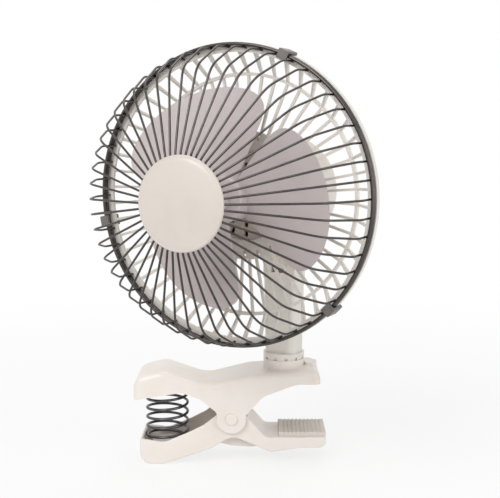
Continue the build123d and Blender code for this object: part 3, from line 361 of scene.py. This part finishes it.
def rounded(points, radii, step):
    """Points of a path with its inner corners rounded, an arc's points about step degrees apart."""
    path = [Vector(points[0])]
    for before, corner, after, radius in zip(points, points[1:], points[2:], radii):
        before, corner, after = Vector(before), Vector(corner), Vector(after)
        back = (before - corner).normalized()
        on = (after - corner).normalized()
        half = back.angle(on) / 2
        centre = corner + (back + on).normalized() * (radius / sin(half))
        start = corner + back * (radius / tan(half))
        swept = pi - 2 * half
        side = start - centre
        along = -back
        count = max(2, round(swept * 180 / pi / step))
        for number in range(count + 1):
            angle = swept * number / count
            path.append(centre + side * cos(angle) + along * (radius * sin(angle)))
    path.append(Vector(points[-1]))
    return path


def turned(profile, steps):
    """Form made by turning a profile of radius and height round its axis."""
    form = bmesh.new()
    corners = [form.verts.new((radius, 0.0, height)) for radius, height in profile]
    edges = [form.edges.new(pair) for pair in zip(corners, corners[1:])]
    bmesh.ops.spin(
        form,
        geom=corners + edges,
        cent=ORIGIN,
        axis=AXIS,
        angle=2 * pi,
        steps=steps,
        use_merge=True,
    )
    return form


def rod(path, radius, sides, loop=False):
    """Round rod along a path, with an even number of sides."""
    line = bpy.data.curves.new("rod", "CURVE")
    line.dimensions = "3D"
    line.bevel_depth = radius
    line.bevel_resolution = sides // 2 - 2
    line.use_fill_caps = not loop
    strand = line.splines.new("POLY")
    strand.points.add(len(path) - 1)
    for knot, point in zip(strand.points, path):
        knot.co = (*point, 1.0)
    strand.use_cyclic_u = loop
    holder = linked("rod", line)
    bpy.context.view_layer.update()
    drawn = holder.evaluated_get(bpy.context.evaluated_depsgraph_get())
    mesh = bpy.data.meshes.new_from_object(drawn)
    bpy.data.objects.remove(holder)
    form = bmesh.new()
    form.from_mesh(mesh)
    bpy.data.meshes.remove(mesh)
    return form


def round_the_axis(form, count, first):
    """Repeats a form at equal steps round the z axis, the first turned by some degrees."""
    turn = Matrix.Rotation(radians(first), 3, "Z")
    bmesh.ops.rotate(form, verts=form.verts, cent=ORIGIN, matrix=turn)
    bmesh.ops.spin(
        form,
        geom=form.verts[:] + form.edges[:] + form.faces[:],
        cent=ORIGIN,
        axis=AXIS,
        angle=2 * pi * (count - 1) / count,
        steps=count - 1,
        use_duplicate=True,
    )


# ---------------------------------------------------------------- front guard

# Heights in the head are ahead of the plane between the rim rings, and radii are from its axis.
WIRE_COUNT = 52
FIRST_WIRE = 1.0
WIRE_HALF = 0.79  # half the thickness
WIRE_SIDES = 10
WIRE_START = 24.0
WIRE_FOOT = -3.0
WIRE_BENDS = (8.0, 21.0, 18.0)
ARC_STEP = 5.0
CROWN_HEIGHT = 68.0
CROWN_RADIUS = 33.0
CROWN_SLOPE = radians(22.9)
SHOULDER_RADIUS = 90.0
SHOULDER_HEIGHT = CROWN_HEIGHT - (SHOULDER_RADIUS - CROWN_RADIUS) * tan(CROWN_SLOPE)
SIDE_SLOPE = radians(63.5)
SIDE_RADIUS = 104.4
SIDE_HEIGHT = SHOULDER_HEIGHT - (SIDE_RADIUS - SHOULDER_RADIUS) * tan(SIDE_SLOPE)

wire_profile = rounded(
    [
        (WIRE_START, CROWN_HEIGHT),
        (CROWN_RADIUS, CROWN_HEIGHT),
        (SHOULDER_RADIUS, SHOULDER_HEIGHT),
        (SIDE_RADIUS, SIDE_HEIGHT),
        (SIDE_RADIUS, WIRE_FOOT),
    ],
    WIRE_BENDS,
    ARC_STEP,
)
wires = rod([(point.x, 0.0, point.y) for point in wire_profile], WIRE_HALF, WIRE_SIDES)
round_the_axis(wires, WIRE_COUNT, FIRST_WIRE)
finished("guard_wires", closed(wires, "guard_wires"), wire_chrome, "head", "front_guard_wires")

RING_RADIUS = 106.53
RING_HALF = 1.3  # half the thickness
RING_SIDES = 12
RING_STEPS = 144
RING_HEIGHTS = (1.4, -1.4)

ring_angles = [2 * pi * number / RING_STEPS for number in range(RING_STEPS)]
rings = bmesh.new()
for height in RING_HEIGHTS:
    circle = [(RING_RADIUS * cos(angle), RING_RADIUS * sin(angle), height) for angle in ring_angles]
    joined(rings, rod(circle, RING_HALF, RING_SIDES, loop=True))
finished("rim_rings", closed(rings, "rim_rings"), wire_chrome, "head", "guard_rim_rings")

# ---------------------------------------------------------------- blades

BLADE_COUNT = 3
FIRST_BLADE = -1.0
BLADE_RADIUS = 77.5
BLADE_PLANE = 2.5
BLADE_SPREAD = radians(48.5)  # half the angle that a blade spans
BLADE_SHEET = 1.6
BLADE_CORNER = 42.0  # radius where a blade's straight side ends and its round corner begins
BLADE_SQUARENESS = 5  # of its corners: more is squarer
BLADE_CAMBER = 3.0
OUTER_PITCH = 15.0  # degrees
INNER_PITCH = 22.0  # degrees added at the axis, and less and less further out
PITCH_FADE = 26.0  # way out in which the added pitch falls to about a third

HUB_RADIUS = 17.0
HUB_BACK = -8.0
HUB_FRONT = 16.0
HUB_WALL = 2.2
HUB_BORE = 2.5
HUB_BOSS = 6.0
HUB_EDGE = ((2.4, 0.0), (1.2, 0.35), (0.35, 1.2), (0.0, 2.4))  # in from the side, and back
HUB_STEPS = 72
BLADE_ROOT = HUB_RADIUS - 1.5


def blade_point(across, outward):
    """Point of a blade's sheet: across runs from -1 to 1, and outward from 0 at the hub to 1."""
    fullness = (1.0 - abs(across) ** BLADE_SQUARENESS) ** (1.0 / BLADE_SQUARENESS)
    reach = BLADE_CORNER + (BLADE_RADIUS - BLADE_CORNER) * fullness
    radius = BLADE_ROOT + (reach - BLADE_ROOT) * outward
    along, beside = radius * cos(BLADE_SPREAD * across), radius * sin(BLADE_SPREAD * across)
    pitch = radians(OUTER_PITCH + INNER_PITCH * exp(-along / PITCH_FADE))
    camber = BLADE_CAMBER * (1.0 - (beside / BLADE_RADIUS) ** 2)
    return Vector((along, beside, BLADE_PLANE + beside * tan(pitch) + camber))


blades = bmesh.new()
bmesh.ops.create_grid(blades, x_segments=36, y_segments=16, size=1.0)
for corner in blades.verts:
    corner.co = blade_point(sin(corner.co.x * pi / 2), (corner.co.y + 1.0) / 2)
bmesh.ops.recalc_face_normals(blades, faces=blades.faces)
bmesh.ops.solidify(blades, geom=blades.faces[:], thickness=BLADE_SHEET)
round_the_axis(blades, BLADE_COUNT, FIRST_BLADE)

hub_profile = [
    (HUB_BORE, HUB_FRONT),
    *((HUB_RADIUS - inward, HUB_FRONT - back) for inward, back in HUB_EDGE),
    (HUB_RADIUS, HUB_BACK),
    (HUB_RADIUS - HUB_WALL, HUB_BACK),
    (HUB_RADIUS - HUB_WALL, HUB_FRONT - HUB_WALL),
    (HUB_BOSS, HUB_FRONT - HUB_WALL),
    (HUB_BOSS, HUB_BACK),
    (HUB_BORE, HUB_BACK),
    (HUB_BORE, HUB_FRONT),
]
joined(blades, turned(hub_profile, HUB_STEPS))
finished("blades", closed(blades, "blades"), blade_grey, "rotor", "fan_blade")

# ---------------------------------------------------------------- badge

BADGE_RADIUS = 31.8
BADGE_BACK = CROWN_HEIGHT + 0.83
BADGE_HEIGHT = 5.5
BADGE_TOP = BADGE_BACK + BADGE_HEIGHT
BADGE_SHEET = 1.8  # thickness in the middle
BADGE_STEPS = 128
DOME_RISE = 3.3
DOME_RADIUS = (BADGE_RADIUS**2 + DOME_RISE**2) / (2 * DOME_RISE)
DOME_POINTS = (4.0, 8.0, 12.0, 16.0, 20.0, 24.0, 27.0, 29.4)
# Radius, and height over the dome.
BADGE_BEAD = ((29.9, -0.12), (30.3, -0.1), (30.7, 0.1))
# Radius, and height over the badge's back.
BADGE_EDGE = ((31.2, 2.2), (31.6, 1.8), (31.8, 1.2), (31.8, 0.3), (31.5, 0.0), (30.0, 0.0))


def dome_point(radius, lift=0.0):
    """Point of the badge's profile at a radius, lifted by some height from the dome."""
    return radius, BADGE_TOP - DOME_RADIUS + sqrt(DOME_RADIUS**2 - radius**2) + lift


badge_profile = [
    (0.0, BADGE_TOP),
    *(dome_point(radius) for radius in DOME_POINTS),
    *(dome_point(radius, lift) for radius, lift in BADGE_BEAD),
    *((radius, BADGE_BACK + height) for radius, height in BADGE_EDGE),
    (0.0, BADGE_TOP - BADGE_SHEET),
]
badge = turned(badge_profile, BADGE_STEPS)
finished("badge", closed(badge, "badge"), badge_gloss, "head", "front_badge")

# ---------------------------------------------------------------- clamp spring

SPRING_X = -113.2
SPRING_LOW = -54.4
SPRING_HIGH = -2.8
SPRING_HALF = 1.1  # half the wire's thickness
SPRING_SIDES = 12
TIP_LENGTH = 2.2
BEND = 3.0  # height of the bend between tip and coil, and its length along the coil
BEND_TURNS = (0.4, 0.8, 1.2)
COIL_RADIUS = 16.3
COIL_LOW = SPRING_LOW + TIP_LENGTH + BEND
COIL_HIGH = SPRING_HIGH - TIP_LENGTH - BEND
HALF_TURNS = 11
COIL_STEPS = HALF_TURNS * 24
COIL_ANGLE = pi * HALF_TURNS
TIP_ANGLE = BEND / COIL_RADIUS  # from a coil's end on to the tip


def coil_point(angle, height):
    return Vector((COIL_RADIUS * cos(angle), COIL_RADIUS * sin(angle), height))


def spring_end(tip_angle, coil_angle, height, way):
    """Points of one end of the spring from its tip to the coil, where way is 1 up or -1 down."""
    tip, coil_end = coil_point(tip_angle, 0.0), coil_point(coil_angle, 0.0)
    bend_start = height + way * TIP_LENGTH
    path = [tip + UP * height, tip + UP * bend_start]
    for turn in BEND_TURNS:
        level = bend_start + way * BEND * sin(turn)
        path.append(tip.lerp(coil_end, 1 - cos(turn)) + UP * level)
    return path


coil = []
for number in range(COIL_STEPS + 1):
    share = number / COIL_STEPS
    coil.append(coil_point(COIL_ANGLE * share, COIL_LOW + (COIL_HIGH - COIL_LOW) * share))
low_end = spring_end(-TIP_ANGLE, 0.0, SPRING_LOW, 1)
high_end = spring_end(COIL_ANGLE + TIP_ANGLE, COIL_ANGLE, SPRING_HIGH, -1)
spring = rod(low_end + coil + high_end[::-1], SPRING_HALF, SPRING_SIDES)
spring_place = placed(
    Vector((1.0, 0.0, 0.0)), Vector((0.0, 1.0, 0.0)), UP, Vector((SPRING_X, 0.0, 0.0))
)
spring_piece = linked("handle_spring", closed(spring, "handle_spring", spring_place))
coat(spring_piece, spring_dark)
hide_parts("clamp_spring")
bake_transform(spring_piece)

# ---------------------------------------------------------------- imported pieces, edges eased

EASED_OVER = radians(32.0)
FLAT_UNDER = radians(0.6)
SAME_POINT = 0.004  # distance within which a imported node's corners are merged


def eased(name, finish, body, width, segments=2, clamped=True):
    """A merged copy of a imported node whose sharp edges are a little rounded."""
    form = bmesh.new()
    form.from_mesh(nodes[name].data)
    bmesh.ops.remove_doubles(form, verts=form.verts, dist=SAME_POINT * MM)
    bmesh.ops.dissolve_limit(form, angle_limit=FLAT_UNDER, verts=form.verts, edges=form.edges)
    mesh = meshed(form, name + "_eased")
    mesh.shade_smooth()
    mesh.set_sharp_from_angle(angle=EASED_OVER)
    piece = finished(name + "_eased", mesh, finish, body, name)
    bevel = piece.modifiers.new("edge", "BEVEL")
    bevel.width = width * MM
    bevel.segments = segments
    bevel.limit_method = "ANGLE"
    bevel.angle_limit = EASED_OVER
    bevel.miter_outer = "MITER_ARC"
    bevel.use_clamp_overlap = clamped
    bevel.harden_normals = True


eased("upper_jaw", clamp_ivory, "upper_jaw", width=0.8, segments=3)
eased("lower_jaw", clamp_ivory, "lower_jaw", width=0.9, segments=3, clamped=False)
eased("neck", neck_ivory, "neck", width=0.4)
eased("rear_guard", guard_ivory, "head", width=0.25, segments=1)
eased("guard_clips", clip_steel, "head", width=0.3)
eased("motor_cover", shell_ivory, "head", width=0.3)
eased("motor_housing", shell_ivory, "head", width=0.4)
eased("speed_knob", knob_ivory, "knob", width=0.25)
eased("upper_jaw_pad", pad_rubber, "upper_jaw", width=0.25)
eased("lower_jaw_pad", pad_rubber, "lower_jaw", width=0.25)


# ---------------------------------------------------------------- stage

STAGE_MIDDLE = (-0.05, -0.05, 0.0)
LAMP_TARGET = Vector((-0.05, -0.05, 0.10))
WHITE = (1.0, 1.0, 1.0)
FLOOR_HALF = 12.0
FLOOR_GAP = 0.0005
SHADOW_NEAR = 0.15  # the floor's shadow shows in full within this distance
SHADOW_FAR = 0.9  # and not at all beyond this one
PLAIN_WHITE = 0.78  # share of plain white in the floor where the shadow shows in full
SKY_LIGHT = 0.42  # strength of the white world as a light

floor_paint = Finish("floor_paint", (0.88, 0.88, 0.88), 0.9)
seen = floor_paint.node("ShaderNodeLightPath", output="Is Camera Ray")
for ray in ("Is Glossy Ray", "Is Transmission Ray"):
    seen = seen.most(floor_paint.node("ShaderNodeLightPath", output=ray))
far = floor_paint.outward(STAGE_MIDDLE, UP).ramp(SHADOW_NEAR, SHADOW_FAR)
share = seen * (far * (1.0 - PLAIN_WHITE) + PLAIN_WHITE)
bright = floor_paint.node("ShaderNodeEmission", {}, {"Color": WHITE, "Strength": 1.0})
paint = Number(floor_paint, floor_paint.shader.outputs[0])
mixed = floor_paint.node("ShaderNodeMixShader", {}, {0: share, 1: paint, 2: bright})
floor_paint.link(mixed, floor_paint.tree.nodes["Material Output"].inputs["Surface"])

sheet = bmesh.new()
bmesh.ops.create_grid(sheet, x_segments=1, y_segments=1, size=FLOOR_HALF)
floor = linked("floor", meshed(sheet, "floor"))
floor.location.z = cad_box[0][2] - FLOOR_GAP
coat(floor, floor_paint)

world = bpy.data.worlds.new("studio")
bpy.context.scene.world = world
world.use_nodes = True
sky = world.node_tree
backdrop = sky.nodes["Background"]
rays = sky.nodes.new("ShaderNodeLightPath")
direct = sky.nodes.new("ShaderNodeMath")
direct.operation = "MAXIMUM"
sky.links.new(rays.outputs["Is Camera Ray"], direct.inputs[0])
sky.links.new(rays.outputs["Is Glossy Ray"], direct.inputs[1])
level = sky.nodes.new("ShaderNodeMapRange")
sky.links.new(direct.outputs[0], level.inputs["Value"])
level.inputs["To Min"].default_value = SKY_LIGHT
level.inputs["To Max"].default_value = 1.0
backdrop.inputs["Color"].default_value = (*WHITE, 1.0)
sky.links.new(level.outputs[0], backdrop.inputs["Strength"])


def softbox(name, place, size, power):
    """Square area lamp that looks at the object."""
    lamp = bpy.data.lights.new(name, "AREA")
    lamp.size = size
    lamp.energy = power
    holder = linked(name, lamp)
    holder.location = place
    holder.rotation_euler = (LAMP_TARGET - Vector(place)).to_track_quat("-Z", "Y").to_euler()
    return holder


key_lamp = softbox("key_lamp", (-0.75, -1.10, 1.10), size=0.9, power=15.0)
fill_lamp = softbox("fill_lamp", (1.10, -0.90, 0.45), size=1.0, power=6.5)
top_lamp = softbox("top_lamp", (0.10, 0.50, 1.35), size=0.8, power=4.5)

camera = linked("camera", bpy.data.cameras.new("camera"))
camera.data.lens = 72.0
camera.data.sensor_width = 36.0
camera.data.clip_start = 0.01
camera.data.clip_end = 50.0
camera.location = (-0.0464, -0.7885, 0.2024)
camera.rotation_euler = (radians(83.0), 0.0, 0.0)
bpy.context.scene.camera = camera
bpy.context.scene.view_settings.view_transform = "Standard"

bpy.context.view_layer.update()
